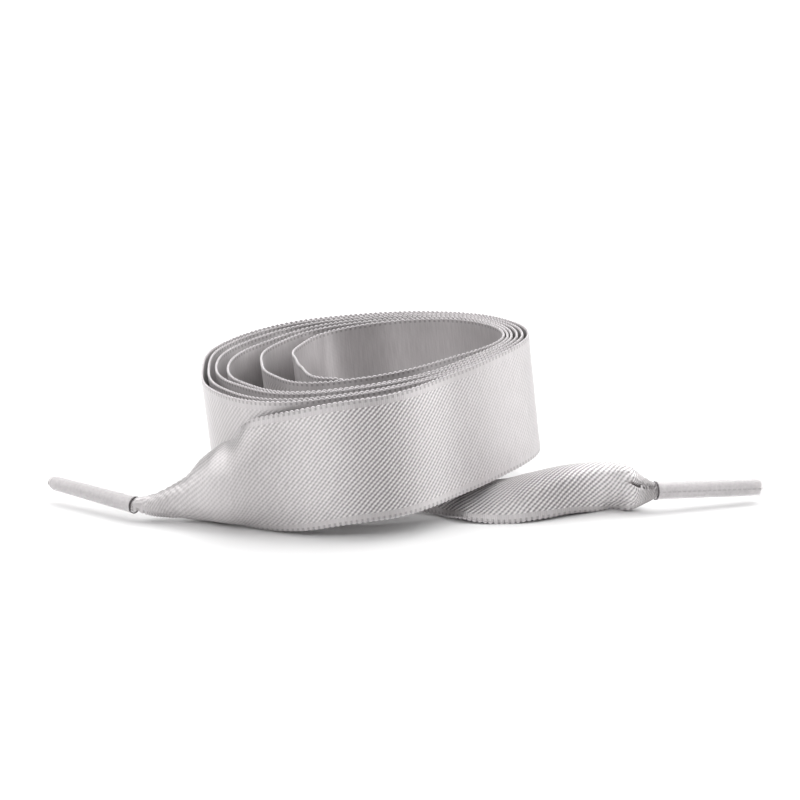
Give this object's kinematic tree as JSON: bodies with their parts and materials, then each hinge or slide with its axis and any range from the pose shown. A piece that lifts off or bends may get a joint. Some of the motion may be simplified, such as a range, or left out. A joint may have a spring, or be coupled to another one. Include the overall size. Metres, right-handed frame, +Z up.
{
  "type": "ribbon shoelace",
  "caption": "Flat satin ribbon shoelace wound loosely into a coil on its edge, with two free gathered tails that end in slim film-sleeved aglets.",
  "frame": {"origin": "centre of the whole lace's footprint, on the surface it lies on", "axes": "+X from the outer aglet's tip towards the inner aglet's tip, +Y away from the viewer behind the coil, +Z up"},
  "size_m": [0.1439, 0.0681, 0.032],
  "materials": {
    "satin_ribbon": "silver-grey satin weave with fine edge loops",
    "rolled_cloth": "the same satin, rolled tight",
    "aglet_film": "thin clear film shrunk over the rolled cloth"
  },
  "bodies": {
    "coil": {"ribbon_wound_turns": "satin_ribbon"},
    "outer_tail": {"ribbon_outer_tail": "satin_ribbon"},
    "inner_tail": {"ribbon_inner_tail": "satin_ribbon"},
    "outer_aglet": {"outer_end_roll": "rolled_cloth", "outer_aglet_sleeve": "aglet_film"},
    "inner_aglet": {"inner_end_roll": "rolled_cloth", "inner_aglet_sleeve": "aglet_film"}
  },
  "joints": [
    {"name": "outer_tail_swing", "type": "hinge", "parent": "coil", "child": "outer_tail", "pos_m": [-0.0043, -0.0331, 0.0162], "axis": [0, 0, 1], "range_deg": [0, 40], "stiffness_Nm_per_rad": 0.001},
    {"name": "inner_tail_swing", "type": "hinge", "parent": "coil", "child": "inner_tail", "pos_m": [-0.0119, -0.0163, 0.0154], "axis": [0, 0, 1], "range_deg": [-2, 3], "stiffness_Nm_per_rad": 0.001},
    {"name": "outer_aglet_flex", "type": "hinge", "parent": "outer_tail", "child": "outer_aglet", "pos_m": [-0.0529, -0.0214, 0.0031], "axis": [0.5978, 0.8016, 0], "range_deg": [-3, 30], "stiffness_Nm_per_rad": 0.001},
    {"name": "inner_aglet_flex", "type": "hinge", "parent": "inner_tail", "child": "inner_aglet", "pos_m": [0.0498, -0.0152, 0.0041], "axis": [0.273, -0.962, 0], "range_deg": [-2, 30], "stiffness_Nm_per_rad": 0.001}
  ]
}
